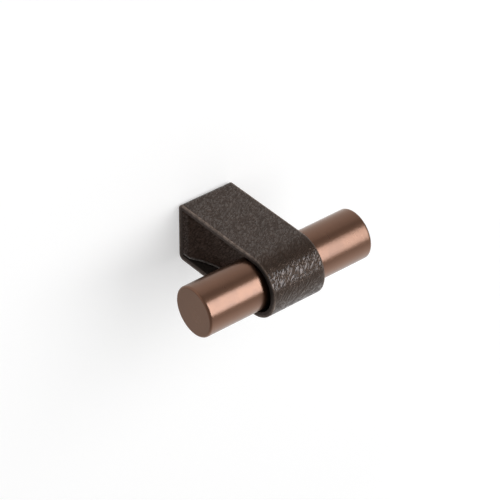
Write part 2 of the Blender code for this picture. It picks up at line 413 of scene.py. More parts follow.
class Effects:
    """Shader node groups, each built once and used by more than one finish."""

    @staticmethod
    @cache
    def hide_grain() -> bpy.types.NodeTree:
        """Return the leather grain: soft pebbles between fine creases, in metres over the hide."""
        bench, given, result = open_tree("hide_grain", "ShaderNodeTree", {
            "Place": ("vector", None),
            "Cell Size": ("float", 0.0008),
            "Stretch": ("float", 1.6),
            "Turn": ("float", 0.7),
            "Irregularity": ("float", 0.5),
        }, {"Height": "float", "Crease": "float", "Mottle": "float", "Gloss": "float"})
        turned = bench.add("ShaderNodeVectorRotate", {
            "Vector": given["Place"], "Axis": (0.0, 0.0, 1.0), "Angle": given["Turn"],
        }, rotation_type="AXIS_ANGLE").outputs[0]
        cells = bench.vector("SCALE", turned, scale=bench.math("DIVIDE", 1.0, given["Cell Size"]))
        squeeze = bench.join(bench.math("DIVIDE", 1.0, given["Stretch"]), 1.0, 1.0)
        cells = bench.vector("MULTIPLY", cells, squeeze)
        wobble = bench.add("ShaderNodeTexNoise", {"Vector": cells, "Scale": 0.8, "Detail": 2.0})
        centred = bench.vector("SUBTRACT", wobble.outputs["Color"], (0.5, 0.5, 0.5))
        cells = bench.vector("ADD", cells, bench.vector("SCALE", centred, scale=given["Irregularity"]))
        border = bench.add("ShaderNodeTexVoronoi", {"Vector": cells, "Scale": 0.9},
                           feature="DISTANCE_TO_EDGE").outputs["Distance"]
        pebble = bench.remap(border, 0.0, 0.34, 0.0, 1.0)
        off_line = bench.math("ABSOLUTE", bench.math("SUBTRACT", bench.noise(cells, 0.95, 1.5), 0.5))
        fold = bench.remap(off_line, 0.0, 0.11, 0.0, 1.0)
        fine = bench.noise(cells, 3.0, 3.0, 0.7)
        mixed = bench.math("MULTIPLY_ADD", fold, FOLD_SHARE, bench.math("MULTIPLY", pebble, PEBBLE_SHARE))
        mixed = bench.math("MULTIPLY_ADD", fine, FINE_SHARE, mixed)
        bench.feed(result["Height"], mixed)
        line = bench.math("MAXIMUM", bench.remap(off_line, 0.0, 0.07, 1.0, 0.0),
                          bench.remap(border, 0.0, 0.12, 0.7, 0.0))
        bench.feed(result["Crease"], line)
        worn = bench.remap(mixed, 0.55, 1.25, 0.0, 1.0)
        bench.feed(result["Gloss"], bench.math("MULTIPLY", worn, bench.math("SUBTRACT", 1.0, line)))
        bench.feed(result["Mottle"], bench.noise(given["Place"], MOTTLE_SCALE, 3.0, 0.6))
        return bench.tree

    @staticmethod
    @cache
    def edge_wear_and_highlight() -> bpy.types.NodeTree:
        """Return a ragged mask along a strip's two long rims, 1 at the rim and 0 inside: partly edge wear, partly a
        painted highlight along the edge.
        """
        bench, given, result = open_tree("edge_wear_and_highlight", "ShaderNodeTree", {
            "Place": ("vector", None),
            "Half Width": ("float", 0.008),
            "Reach": ("float", 0.0003),
            "Depth Reach": ("float", 0.0004),
            "Raggedness": ("float", 0.6),
        }, {"Mask": "float"})
        _, across, depth = bench.axes(given["Place"])
        from_rim = bench.math("SUBTRACT", given["Half Width"], bench.math("ABSOLUTE", across))
        shreds = bench.noise(given["Place"], SHRED_SCALE, 4.0, 0.75)
        ragged = bench.math("MULTIPLY", bench.math("SUBTRACT", shreds, 0.5), given["Raggedness"])
        inward = bench.math("ADD", bench.math("DIVIDE", from_rim, given["Reach"]), ragged)
        down = bench.math("ADD", bench.math("DIVIDE", depth, given["Depth Reach"]), ragged)
        mask = bench.math("MULTIPLY", bench.remap(inward, 0.35, 1.0, 1.0, 0.0), bench.remap(down, 0.4, 1.0, 1.0, 0.0))
        patches = bench.remap(bench.noise(given["Place"], PATCH_SCALE, 2.0, 0.6), 0.38, 0.58, 0.5, 1.0)
        bench.feed(result["Mask"], bench.math("MULTIPLY", mask, patches))
        return bench.tree

    @staticmethod
    @cache
    def bend_painted_shade() -> bpy.types.NodeTree:
        """Return the share of colour left under a painted shade: all of it on the flat runs, less on the bend's near
        half beside the bar.
        """
        bench, given, result = open_tree("bend_painted_shade", "ShaderNodeTree", {
            "Place": ("vector", None),
            "Start": ("float", 0.026),
            "End": ("float", 0.034),
            "Left": ("float", 0.3),
        }, {"Value": "float"})
        _, side, height = bench.axes(given["Place"])
        bent = bench.remap(height, given["Start"], given["End"], 0.0, 1.0)
        near = bench.remap(side, -3.0 * MM, 3.0 * MM, 1.0, 0.0)
        lost = bench.math("MULTIPLY", bench.math("MULTIPLY", bent, near),
                          bench.math("SUBTRACT", 1.0, given["Left"]))
        bench.feed(result["Value"], bench.math("SUBTRACT", 1.0, lost))
        return bench.tree

    @staticmethod
    @cache
    def handling() -> bpy.types.NodeTree:
        """Return faint cloudy unevenness, as skin oil and polishing leave on metal and leather."""
        bench, given, result = open_tree("handling", "ShaderNodeTree", {
            "Place": ("vector", None),
            "Patch Size": ("float", 0.006),
            "Low": ("float", 0.0),
            "High": ("float", 1.0),
        }, {"Value": "float"})
        place = bench.vector("SCALE", given["Place"],
                             scale=bench.math("DIVIDE", 1.0, given["Patch Size"]))
        clouds = bench.noise(place, 1.0, 4.0, 0.55)
        bench.feed(result["Value"], bench.remap(clouds, 0.3, 0.7, given["Low"], given["High"]))
        return bench.tree

    @staticmethod
    @cache
    def tool_marks() -> bpy.types.NodeTree:
        """Return fine lines that a lathe or an abrasive belt leaves, drawn out across one axis."""
        bench, given, result = open_tree("tool_marks", "ShaderNodeTree", {
            "Place": ("vector", None),
            "Line Size": ("vector", (0.0001, 0.004, 0.004)),
        }, {"Height": "float"})
        place = bench.vector("DIVIDE", given["Place"], given["Line Size"])
        bench.feed(result["Height"], bench.noise(place, 1.0, 2.0))
        return bench.tree


# ---------------------------------------------------------------------------
# Finishes
# ---------------------------------------------------------------------------


Colour = tuple[float, float, float, float]


def open_material(name: str) -> tuple[bpy.types.Material, Bench, bpy.types.Node]:
    """Make a material with a Principled shader.

    Args:
        name: The material's name.

    Returns:
        The material, the bench for its tree, and its shader.
    """
    material = bpy.data.materials.new(name)
    material.use_nodes = True
    return material, Bench(material.node_tree), material.node_tree.nodes["Principled BSDF"]


def read_place(bench: Bench) -> bpy.types.NodeSocket:
    """Return the place on the hide: along the strip, across it, and depth below the grain side."""
    return bench.add("ShaderNodeAttribute", attribute_name=PLACE).outputs["Vector"]


def read_object(bench: Bench) -> bpy.types.NodeSocket:
    """Return the object coordinates."""
    return bench.add("ShaderNodeTexCoord").outputs["Object"]


def read_rim(bench: Bench, place: Any, finish: Any) -> tuple[bpy.types.NodeSocket, bpy.types.NodeSocket]:
    """Return a leather finish's pale rim, partly wear and partly a painted highlight along the edge.

    Args:
        bench: The material's bench.
        place: The place on the hide.
        finish: The finish, which holds the rim's sizes.

    Returns:
        The rim's mask, and the painted shade round the bend: the share of colour left, less on the bend's near half.
    """
    start, end = finish.shaded_bend_span
    rim = bench.group(Effects.edge_wear_and_highlight(), {
        "Place": place, "Half Width": finish.half_width, "Reach": finish.rim_reach,
        "Depth Reach": finish.rim_depth, "Raggedness": RIM_RAGGEDNESS})
    fade = bench.group(Effects.bend_painted_shade(), {
        "Place": read_object(bench), "Start": start, "End": end, "Left": finish.shaded_bend_share})
    return rim.outputs["Mask"], fade.outputs["Value"]


@dataclass(frozen=True)
class GrainLeather:
    """The smooth, dyed grain side of a leather strip, with a paler rim: partly wear, partly a painted highlight along
    the edge.
    """

    name: str
    base: Colour = (0.005, 0.0025, 0.0015, 1.0)
    # Colour in the creases: partly the grain's own dye, partly painted shade.
    crease_dye_and_shade: Colour = (0.0004, 0.0002, 0.0001, 1.0)
    pale: Colour = (0.014, 0.0075, 0.005, 1.0)
    rim: Colour = (0.20, 0.155, 0.13, 1.0)
    roughness: tuple[float, float] = (0.20, 0.25)
    specular: float = 0.50
    shine: Colour = (1.0, 0.66, 0.48, 1.0)
    polish: float = 0.40
    cell_size: float = 0.78 * MM
    stretch: float = 2.7
    turn_degrees: float = 46.0
    relief: float = 0.066 * MM
    half_width: float = 8.35 * MM
    rim_reach: float = 0.58 * MM
    rim_depth: float = 0.42 * MM
    # Heights and share of colour left for the painted shade on the bend's near half.
    shaded_bend_span: tuple[float, float] = (26.0 * MM, 34.0 * MM)
    shaded_bend_share: float = 0.3
    rim_one_sided: bool = False

    def material(self) -> bpy.types.Material:
        """Return the material."""
        material, bench, shader = open_material(self.name)
        place = read_place(bench)
        grain = bench.group(Effects.hide_grain(), {
            "Place": place, "Cell Size": self.cell_size, "Stretch": self.stretch,
            "Turn": math.radians(self.turn_degrees), "Irregularity": 0.8})
        # Pale rim, partly wear and partly a painted highlight along the edge; the painted bend shade takes it away on
        # the bend's near half.
        rim = bench.math("MULTIPLY", *read_rim(bench, place, self))
        # On the facings the pale rim, with its painted highlight, runs along the +Y edge only.
        if self.rim_one_sided:
            rim = bench.math("MULTIPLY", rim, bench.remap(bench.axes(place)[1], -MM, MM, 0.0, 1.0))
        cloud = bench.group(Effects.handling(), {"Place": place, "Patch Size": 5.0 * MM}).outputs["Value"]
        colour = bench.blend(bench.remap(grain.outputs["Mottle"], 0.35, 0.68, 0.0, 1.0), self.base, self.pale)
        # Dark lines in the creases: partly the grain's own colour, partly painted shade.
        colour = bench.blend(bench.math("MULTIPLY", grain.outputs["Crease"], 0.9), colour, self.crease_dye_and_shade)
        rough = bench.remap(cloud, 0.0, 1.0, *self.roughness)
        rough = bench.math("MULTIPLY_ADD", grain.outputs["Crease"], 0.30, rough)
        bench.fill(shader, {
            "Base Color": bench.blend(rim, colour, self.rim),
            "Roughness": bench.math("MULTIPLY_ADD", rim, 0.25, rough, clamp=True),
            "Specular IOR Level": self.specular, "Specular Tint": self.shine,
            "Coat Weight": bench.math("MULTIPLY", grain.outputs["Gloss"], self.polish), "Coat Roughness": 0.18})
        bench.emboss(shader, grain.outputs["Height"], self.relief)
        return material


@dataclass(frozen=True)
class CutEdge:
    """The raw cut side of a leather strip: fibrous, darker towards the flesh side."""

    name: str
    outer: Colour = (0.100, 0.076, 0.064, 1.0)
    inner: Colour = (0.062, 0.046, 0.039, 1.0)
    rim: Colour = (0.215, 0.170, 0.145, 1.0)
    thickness: float = 1.6 * MM
    half_width: float = 8.35 * MM
    rim_reach: float = 0.34 * MM
    rim_depth: float = 0.85 * MM
    # Heights and share of colour left for the painted shade on the bend's near half.
    shaded_bend_span: tuple[float, float] = (26.0 * MM, 34.0 * MM)
    shaded_bend_share: float = 0.3

    def material(self) -> bpy.types.Material:
        """Return the material."""
        material, bench, shader = open_material(self.name)
        place = read_place(bench)
        depth = bench.axes(place)[2]
        fibres = bench.noise(bench.vector("MULTIPLY", place, (0.35, 1.0, 1.0)), FIBRE_SCALE, 4.0, 0.65)
        rim, fade = read_rim(bench, place, self)
        colour = bench.blend(bench.remap(depth, 0.0, self.thickness * 0.7, 0.0, 1.0), self.outer, self.inner)
        colour = bench.blend(bench.remap(fibres, 0.35, 0.7, 0.0, 0.7), colour, self.inner)
        # Pale rim by the grain side: partly wear, partly a painted highlight along the edge.
        colour = bench.blend(rim, colour, self.rim)
        bench.fill(shader, {
            # Painted shade: the whole cut edge is darker on the bend's near half beside the bar.
            "Base Color": bench.vector("SCALE", colour, scale=fade),
            "Roughness": bench.remap(fibres, 0.2, 0.8, 0.7, 0.95), "Specular IOR Level": 0.2})
        bench.emboss(shader, fibres, 0.06 * MM)
        return material


@dataclass(frozen=True)
class FleshSide:
    """The napped inner side of the strap, dark all over."""

    name: str
    base: Colour = (0.018, 0.013, 0.011, 1.0)
    nap: Colour = (0.034, 0.026, 0.022, 1.0)

    def material(self) -> bpy.types.Material:
        """Return the material."""
        material, bench, shader = open_material(self.name)
        place = read_place(bench)
        nap = bench.noise(place, NAP_SCALE, 5.0, 0.7)
        cloud = bench.group(Effects.handling(), {"Place": place, "Patch Size": 4.0 * MM}).outputs["Value"]
        colour = bench.blend(bench.remap(nap, 0.3, 0.7, 0.0, 1.0), self.base, self.nap)
        bench.fill(shader, {
            "Base Color": bench.blend(bench.math("MULTIPLY", cloud, 0.4), colour, self.base),
            "Roughness": bench.remap(nap, 0.2, 0.8, 0.85, 1.0), "Specular IOR Level": 0.12})
        bench.emboss(shader, nap, 0.08 * MM)
        return material


@dataclass(frozen=True)
class SatinMetal:
    """A turned or plated metal with fine tool marks, faint handling clouds, and painted shade on its end faces."""

    name: str
    base: Colour
    deep: Colour
    roughness: tuple[float, float] = (0.32, 0.38)
    line_size: tuple[float, float, float] = (0.32 * MM, 9.0 * MM, 9.0 * MM)
    line_relief: float = 0.0007 * MM
    patch_size: float = 7.0 * MM
    edge_tint: Colour = (1.0, 1.0, 1.0, 1.0)
    lacquer: float = 0.0
    # Where the end faces begin, and the share of colour their painted shade leaves.
    end_at: float = 1.0
    painted_shade_at_ends: float = 1.0

    def material(self) -> bpy.types.Material:
        """Return the material."""
        material, bench, shader = open_material(self.name)
        place = read_object(bench)
        lines = bench.group(Effects.tool_marks(), {"Place": place, "Line Size": self.line_size}).outputs["Height"]
        cloud = bench.group(Effects.handling(), {"Place": place, "Patch Size": self.patch_size}).outputs["Value"]
        colour = bench.blend(bench.math("MULTIPLY", cloud, 0.35), self.base, self.deep)
        colour = bench.blend(bench.remap(lines, 0.35, 0.7, 0.0, 0.18), colour, self.deep)
        along = bench.math("ABSOLUTE", bench.axes(place)[0])
        # Painted shade: the end faces are darker and carry less lacquer, standing in for their darker reflection.
        faced = bench.remap(along, self.end_at - 0.12 * MM, self.end_at - 0.02 * MM, 1.0, self.painted_shade_at_ends)
        rough = bench.remap(cloud, 0.0, 1.0, *self.roughness)
        bench.fill(shader, {
            "Base Color": bench.vector("SCALE", colour, scale=faced),
            "Roughness": bench.math("MULTIPLY_ADD", bench.math("SUBTRACT", lines, 0.5), 0.05, rough, clamp=True),
            "Metallic": 1.0, "Specular Tint": self.edge_tint,
            "Coat Weight": bench.math("MULTIPLY", faced, self.lacquer), "Coat Roughness": 0.25})
        bench.emboss(shader, lines, self.line_relief)
        return material


@dataclass(frozen=True)
class CastMetal:
    """A die-cast zinc block with the fine pitted skin of its mould."""

    name: str
    base: Colour = (0.30, 0.30, 0.31, 1.0)
    pitted: Colour = (0.17, 0.17, 0.18, 1.0)
    pit_size: float = 0.5 * MM

    def material(self) -> bpy.types.Material:
        """Return the material."""
        material, bench, shader = open_material(self.name)
        place = read_object(bench)
        scaled = bench.vector("SCALE", place, scale=1.0 / self.pit_size)
        pits = bench.add("ShaderNodeTexVoronoi", {"Vector": scaled, "Scale": 1.0, "Smoothness": 0.6},
                         feature="SMOOTH_F1").outputs["Distance"]
        cloud = bench.group(Effects.handling(), {"Place": place, "Patch Size": 3.0 * MM}).outputs["Value"]
        skin = bench.remap(pits, 0.15, 0.6, 0.0, 1.0)
        bench.fill(shader, {
            "Base Color": bench.blend(bench.math("MULTIPLY", skin, cloud), self.base, self.pitted),
            "Roughness": bench.remap(cloud, 0.0, 1.0, 0.45, 0.62), "Metallic": 1.0})
        bench.emboss(shader, skin, 0.03 * MM, 0.8)
        return material


# ---------------------------------------------------------------------------
# Geometry trees
# ---------------------------------------------------------------------------


MERGE_DISTANCE = 1e-6


class Trees:
    """Geometry node trees, each built once."""

    @staticmethod
    def _sample(bench: Bench, geometry: Any, value: Any, index: Any, kind: str) -> bpy.types.NodeSocket:
        """Return a value read from one point of the seed mesh.

        Args:
            bench: The tree's bench.
            geometry: The seed mesh.
            value: The field to read.
            index: The point's number.
            kind: The value's data type.

        Returns:
            The value.
        """
        node = bench.add("GeometryNodeSampleIndex", {0: geometry, 1: value, 2: index}, data_type=kind, domain="POINT")
        return node.outputs[0]

    @staticmethod
    def _named(bench: Bench, name: str, kind: str) -> bpy.types.NodeSocket:
        """Return a named attribute as a field.

        Args:
            bench: The tree's bench.
            name: The attribute's name.
            kind: Its data type.

        Returns:
            The field.
        """
        return bench.add("GeometryNodeInputNamedAttribute", {"Name": name}, data_type=kind).outputs[0]

    @staticmethod
    def _finish(bench: Bench, geometry: Any, material: Any, result: Any) -> None:
        """End a tree in Realize Instances and Set Material.

        Args:
            bench: The tree's bench.
            geometry: The geometry to finish.
            material: The material socket.
            result: The group's result sockets.
        """
        real = bench.add("GeometryNodeRealizeInstances", {0: geometry}).outputs[0]
        dressed = bench.add("GeometryNodeSetMaterial", {"Geometry": real, "Material": material}).outputs[0]
        bench.feed(result["Geometry"], dressed)

    @classmethod
    @cache
    def leather_strip(cls) -> bpy.types.NodeTree:
        """Return the tree that sweeps a strip's section along a path of paired outer and inner points."""
        bench, given, result = open_tree("leather_strip", "GeometryNodeTree", {
            "Geometry": ("geometry", None),
            "Rows": ("int", 2),
            "Columns": ("int", 4),
            "Across": ("vector", (1.0, 0.0, 0.0)),
            "Thickness": ("float", 0.0016),
            "Half Width": ("float", 0.008),
            "Swell": ("float", 0.00004),
            "Swell Size": ("float", 0.004),
            "Fray": ("float", 0.00003),
            "Seed": ("float", 1.0),
            "Material": ("material", None),
            "Edge Material": ("material", None),
            "Back Material": ("material", None),
        }, {"Geometry": "geometry"})
        seed = given["Geometry"]
        grid = bench.add("GeometryNodeMeshGrid", {
            "Vertices X": given["Rows"], "Vertices Y": given["Columns"]}).outputs[0]
        index = bench.add("GeometryNodeInputIndex").outputs[0]
        row = bench.math("FLOOR", bench.math("DIVIDE", index, given["Columns"]))
        column = bench.math("SUBTRACT", index, bench.math("MULTIPLY", row, given["Columns"]))
        column = bench.math("ADD", column, given["Rows"])
        position = bench.add("GeometryNodeInputPosition").outputs[0]
        outer = cls._sample(bench, seed, position, row, "FLOAT_VECTOR")
        inner = cls._sample(bench, seed, cls._named(bench, "inner", "FLOAT_VECTOR"), row, "FLOAT_VECTOR")
        along = cls._sample(bench, seed, cls._named(bench, "along", "FLOAT"), row, "FLOAT")
        opened = cls._sample(bench, seed, cls._named(bench, "opened", "FLOAT"), row, "FLOAT")
        section = cls._sample(bench, seed, position, column, "FLOAT_VECTOR")
        wide, deep, _ = bench.axes(section)
        across = bench.math("MULTIPLY", wide, opened)
        depth = bench.math("MULTIPLY_ADD", bench.math("SUBTRACT", deep, 0.5), opened, 0.5)
        place = bench.join(along, across, bench.math("MULTIPLY", depth, given["Thickness"]))
        swell = bench.add("ShaderNodeTexNoise", {
            "Vector": bench.vector("SCALE", place, scale=bench.math("DIVIDE", 1.0, given["Swell Size"])),
            "W": given["Seed"], "Scale": 1.0, "Detail": 2.0}, noise_dimensions="4D").outputs["Fac"]
        dip = bench.math("DIVIDE", bench.math("MULTIPLY", swell, given["Swell"]), given["Thickness"])
        dip = bench.math("MULTIPLY", dip, bench.math("SUBTRACT", 1.0, depth))
        shreds = bench.add("ShaderNodeTexNoise", {
            "Vector": place, "W": given["Seed"], "Scale": NAP_SCALE, "Detail": 2.0},
            noise_dimensions="4D").outputs["Fac"]
        near_rim = bench.remap(bench.math("DIVIDE", bench.math("ABSOLUTE", across), given["Half Width"]),
                               0.93, 1.0, 0.0, 1.0)
        pull = bench.math("MULTIPLY", bench.math("MULTIPLY", shreds, given["Fray"]), near_rim)
        pull = bench.math("MULTIPLY", pull, bench.math("SIGN", across))
        point = bench.blend(bench.math("ADD", depth, dip), outer, inner, "VECTOR")
        aside = bench.vector("SCALE", given["Across"], scale=bench.math("SUBTRACT", across, pull))
        body = bench.add("GeometryNodeSetPosition", {0: grid, "Position": bench.vector("ADD", point, aside)}).outputs[0]
        by_point = bench.add("GeometryNodeFieldOnDomain", {0: place}, data_type="FLOAT_VECTOR", domain="POINT")
        for name, value, kind, domain in (
                (PLACE, by_point.outputs[0], "FLOAT_VECTOR", "CORNER"),
                ("side", depth, "FLOAT", "POINT"),
                ("reach", bench.math("ABSOLUTE", across), "FLOAT", "POINT")):
            body = bench.add("GeometryNodeStoreNamedAttribute", {
                "Geometry": body, "Name": name, "Value": value}, data_type=kind, domain=domain).outputs[0]
        body = bench.add("GeometryNodeMergeByDistance", {"Geometry": body, "Distance": MERGE_DISTANCE}).outputs[0]
        body = bench.add("GeometryNodeSetShadeSmooth", {0: body}).outputs[0]
        body = bench.add("GeometryNodeRealizeInstances", {0: body}).outputs[0]
        body = bench.add("GeometryNodeSetMaterial", {"Geometry": body, "Material": given["Material"]}).outputs[0]
        edge_limit = bench.math("SUBTRACT", given["Half Width"], 0.06 * MM)
        for name, limit, finish in (("side", 0.97, "Back Material"), ("reach", edge_limit, "Edge Material")):
            beyond = bench.add("FunctionNodeCompare", {0: cls._named(bench, name, "FLOAT"), 1: limit},
                               data_type="FLOAT", operation="GREATER_THAN").outputs[0]
            body = bench.add("GeometryNodeSetMaterial", {
                "Geometry": body, "Selection": beyond, "Material": given[finish]}).outputs[0]
        bench.feed(result["Geometry"], body)
        return bench.tree

    @classmethod
    @cache
    def turned_body(cls) -> bpy.types.NodeTree:
        """Return the tree that turns a profile about Z, with knurled and threaded stretches."""
        bench, given, result = open_tree("turned_body", "GeometryNodeTree", {
            "Geometry": ("geometry", None),
            "Rows": ("int", 2),
            "Segments": ("int", 48),
            "Ridges": ("float", 24.0),
            "Pitch": ("float", 0.0007),
            "Material": ("material", None),
        }, {"Geometry": "geometry"})
        seed = given["Geometry"]
        columns = bench.math("ADD", given["Segments"], 1.0)
        grid = bench.add("GeometryNodeMeshGrid", {
            "Vertices X": given["Rows"], "Vertices Y": columns}).outputs[0]
        index = bench.add("GeometryNodeInputIndex").outputs[0]
        row = bench.math("FLOOR", bench.math("DIVIDE", index, columns))
        column = bench.math("SUBTRACT", index, bench.math("MULTIPLY", row, columns))
        position = bench.add("GeometryNodeInputPosition").outputs[0]
        radius, _, height = bench.axes(cls._sample(bench, seed, position, row, "FLOAT_VECTOR"))
        knurl = cls._sample(bench, seed, cls._named(bench, "knurl", "FLOAT"), row, "FLOAT")
        thread = cls._sample(bench, seed, cls._named(bench, "thread", "FLOAT"), row, "FLOAT")
        turn = bench.math("MODULO", bench.math("DIVIDE", column, given["Segments"]), 1.0)
        ridge = bench.math("PINGPONG", bench.math("MULTIPLY", turn, given["Ridges"]), 0.5)
        helix = bench.math("SUBTRACT", bench.math("DIVIDE", height, given["Pitch"]), turn)
        groove = bench.math("PINGPONG", helix, 0.5)
        for wave, depth in ((ridge, knurl), (groove, thread)):
            cut = bench.math("MULTIPLY", bench.math("MULTIPLY", wave, 2.0), depth)
            radius = bench.math("SUBTRACT", radius, cut)
        angle = bench.math("MULTIPLY", turn, 2.0 * math.pi)
        point = bench.join(bench.math("MULTIPLY", radius, bench.math("COSINE", angle)),
                           bench.math("MULTIPLY", radius, bench.math("SINE", angle)), height)
        moved = bench.add("GeometryNodeSetPosition", {0: grid, "Position": point}).outputs[0]
        merged = bench.add("GeometryNodeMergeByDistance", {"Geometry": moved, "Distance": MERGE_DISTANCE}).outputs[0]
        cls._finish(bench, merged, given["Material"], result)
        return bench.tree


def turned(name: str, profile: Sequence[tuple[float, float, float, float]], segments: int,
           material: Optional[bpy.types.Material], ridges: float = 24.0,
           pitch: float = 0.7 * MM) -> bpy.types.Object:
    """Turn a profile about Z with the geometry tree.

    Args:
        name: The new object's name.
        profile: Radius, height, knurl depth and thread depth of each point.
        segments: Points around.
        material: The finish, or None for a cutter.
        ridges: Knurl ridges around.
        pitch: The thread's pitch.

    Returns:
        The object, with the tree still on it.
    """
    points = [Vector((radius, 0.0, height)) for radius, height, _, _ in profile]
    obj = seed_object(name, points, {"knurl": [p[2] for p in profile], "thread": [p[3] for p in profile]})
    run_tree(obj, Trees.turned_body(), {
        "Rows": len(profile), "Segments": segments, "Ridges": ridges, "Pitch": pitch, "Material": material})
    return obj


def drill(name: str, radius: float, low: float, high: float, tip: float, segments: int) -> bpy.types.Object:
    """Make an upright round or six-sided cutter.

    Args:
        name: The cutter's name.
        radius: Its radius.
        low: The height of its bottom.
        high: The height that its wall reaches.
        tip: The height of its top's middle.
        segments: Points around.

    Returns:
        The cutter.
    """
    rows = [(0.0, low), (radius, low), (radius, high), (0.0, tip)]
    return turned(name, [(r, z, 0.0, 0.0) for r, z in rows], segments, None)


def arc(center: tuple[float, float], radius: float, start: float, end: float, steps: int) -> list[tuple[float, float]]:
    """Return points on an arc.

    Args:
        center: The arc's centre in its plane.
        radius: Its radius.
        start: First angle in degrees.
        end: Last angle in degrees.
        steps: How many steps it takes.

    Returns:
        The points, both ends included.
    """
    points = []
    for i in range(steps + 1):
        angle = math.radians(start + (end - start) * i / steps)
        points.append((center[0] + radius * math.cos(angle), center[1] + radius * math.sin(angle)))
    return points


@dataclass
class StripSection:
    """The cross-section of a leather strip, as distance across and share of its depth."""

    width: float
    thickness: float
    outer_ease: tuple[float, float]
    inner_ease: tuple[float, float]
    face_steps: int = 30
    edge_steps: int = 3
    ease_steps: int = 5

    def points(self) -> list[Vector]:
        """Return the closed section, starting and ending at the same point of the grain side."""
        half, deep = self.width / 2, self.thickness
        (ox, oy), (ix, iy) = self.outer_ease, self.inner_ease
        faces = [i / self.face_steps for i in range(self.face_steps)]
        edges = [i / self.edge_steps for i in range(self.edge_steps)]
        turns = [math.pi / 2 * i / self.ease_steps for i in range(self.ease_steps)]
        line = [(-half + ox + (self.width - 2 * ox) * k, 0.0) for k in faces]
        line += [(half - ox + ox * math.sin(a), oy - oy * math.cos(a)) for a in turns]
        line += [(half, oy + (deep - oy - iy) * k) for k in edges]
        line += [(half - ix + ix * math.cos(a), deep - iy + iy * math.sin(a)) for a in turns]
        line += [(half - ix - (self.width - 2 * ix) * k, deep) for k in faces]
        line += [(-half + ix - ix * math.sin(a), deep - iy + iy * math.cos(a)) for a in turns]
        line += [(-half, deep - iy - (deep - oy - iy) * k) for k in edges]
        line += [(-half + ox - ox * math.cos(a), oy - oy * math.sin(a)) for a in turns]
        line.append(line[0])
        return [Vector((across, depth / self.thickness, 0.0)) for across, depth in line]


@dataclass
class LeatherStrip:
    """A strip of leather that follows a path of paired grain-side and flesh-side points."""

    name: str
    path: list[tuple[Vector, Vector]]
    section: StripSection
    across: tuple[float, float, float]
    swell: float
    fray: float
    seed: float
    step: float = 0.6 * MM

    def refined(self) -> list[tuple[Vector, Vector]]:
        """Return the path with its long straight runs divided."""
        rows = [self.path[0]]
        for (outer_a, inner_a), (outer_b, inner_b) in zip(self.path, self.path[1:]):
            parts = max(1, math.ceil((outer_b - outer_a).length / self.step))
            for k in range(1, parts + 1):
                rows.append((outer_a.lerp(outer_b, k / parts), inner_a.lerp(inner_b, k / parts)))
        return rows

    def build(self, grain: bpy.types.Material, edge: bpy.types.Material,
              flesh: bpy.types.Material) -> bpy.types.Object:
        """Sweep the strip.

        Args:
            grain: The finish of its outer side.
            edge: The finish of its two cut edges.
            flesh: The finish of its inner side.

        Returns:
            The object, with the tree still on it.
        """
        rows = self.refined()
        rows = [rows[0], *rows, rows[-1]]
        along, total = [], 0.0
        previous = rows[0]
        for row in rows:
            total += ((row[0] + row[1]) / 2 - (previous[0] + previous[1]) / 2).length
            along.append(total)
            previous = row
        opened = [0.0] + [1.0] * (len(rows) - 2) + [0.0]
        section = self.section.points()
        blank = [Vector((0.0, 0.0, 0.0))] * len(section)
        zeros = [0.0] * len(section)
        obj = seed_object(self.name, [row[0] for row in rows] + section, {
            "inner": [row[1] for row in rows] + blank, "along": along + zeros, "opened": opened + zeros})
        run_tree(obj, Trees.leather_strip(), {
            "Rows": len(rows), "Columns": len(section), "Across": self.across,
            "Thickness": self.section.thickness, "Half Width": self.section.width / 2,
            "Swell": self.swell, "Swell Size": 3.5 * MM, "Fray": self.fray, "Seed": self.seed,
            "Material": grain, "Edge Material": edge, "Back Material": flesh})
        return obj


# ---------------------------------------------------------------------------
# Sub-assemblies
# ---------------------------------------------------------------------------


@dataclass
class FoldedStrap:
    """The leather strap that wraps the core, loops over the bar and meets under the core."""

    width: float = 16.7 * MM
    thickness: float = 1.6 * MM
    ease: float = 0.2 * MM
    inner_half: float = 7.2 * MM
    bend_height: float = 30.0 * MM
    fold_inner: float = 0.3 * MM
    fold_outer: float = 1.6 * MM
    seam_offset: float = 5.2 * MM
    seam_gap: float = 0.1 * MM
    hole_diameter: float = 5.0 * MM
    bend_steps: int = 96
    fold_steps: int = 10

    def face(self, depth: float, fold_radius: float) -> list[Vector]:
        """Return one side of the strap in the YZ plane, from one end of the strip to the other.

        Args:
            depth: How far below the grain side it lies.
            fold_radius: The radius of its two sharp folds.

        Returns:
            The points.
        """
        half = self.inner_half + self.thickness - depth
        fold_y, fold_z = half - fold_radius, depth + fold_radius
        line = [(self.seam_offset + self.seam_gap / 2, depth)]
        line += arc((fold_y, fold_z), fold_radius, -90.0, 0.0, self.fold_steps)
        line += arc((0.0, self.bend_height), half, 0.0, 180.0, self.bend_steps)
        line += arc((-fold_y, fold_z), fold_radius, 180.0, 270.0, self.fold_steps)
        line.append((self.seam_offset - self.seam_gap / 2, depth))
        return [Vector((0.0, y, z)) for y, z in line]

    def build(self, grain: bpy.types.Material, edge: bpy.types.Material,
              flesh: bpy.types.Material) -> bpy.types.Object:
        """Build and dress the strap.

        Args:
            grain: The finish of its outer side.
            edge: The finish of its cut edges.
            flesh: The finish of its inner side.

        Returns:
            The finished piece.
        """
        path = list(zip(self.face(0.0, self.fold_outer), self.face(self.thickness, self.fold_inner)))
        section = StripSection(self.width, self.thickness, (self.ease, self.ease), (self.ease, self.ease))
        strip = LeatherStrip(Part.STRAP.value, path, section, (1.0, 0.0, 0.0),
                             swell=0.05 * MM, fray=0.06 * MM, seed=3.0)
        strap = strip.build(grain, edge, flesh)
        radius = self.hole_diameter / 2
        cut_away(strap, drill("strap_hole", radius, -MM, 3 * MM, 3 * MM, 48), LEATHER_SHARP)
        return register(strap, "strap_leather", "leather_strap")


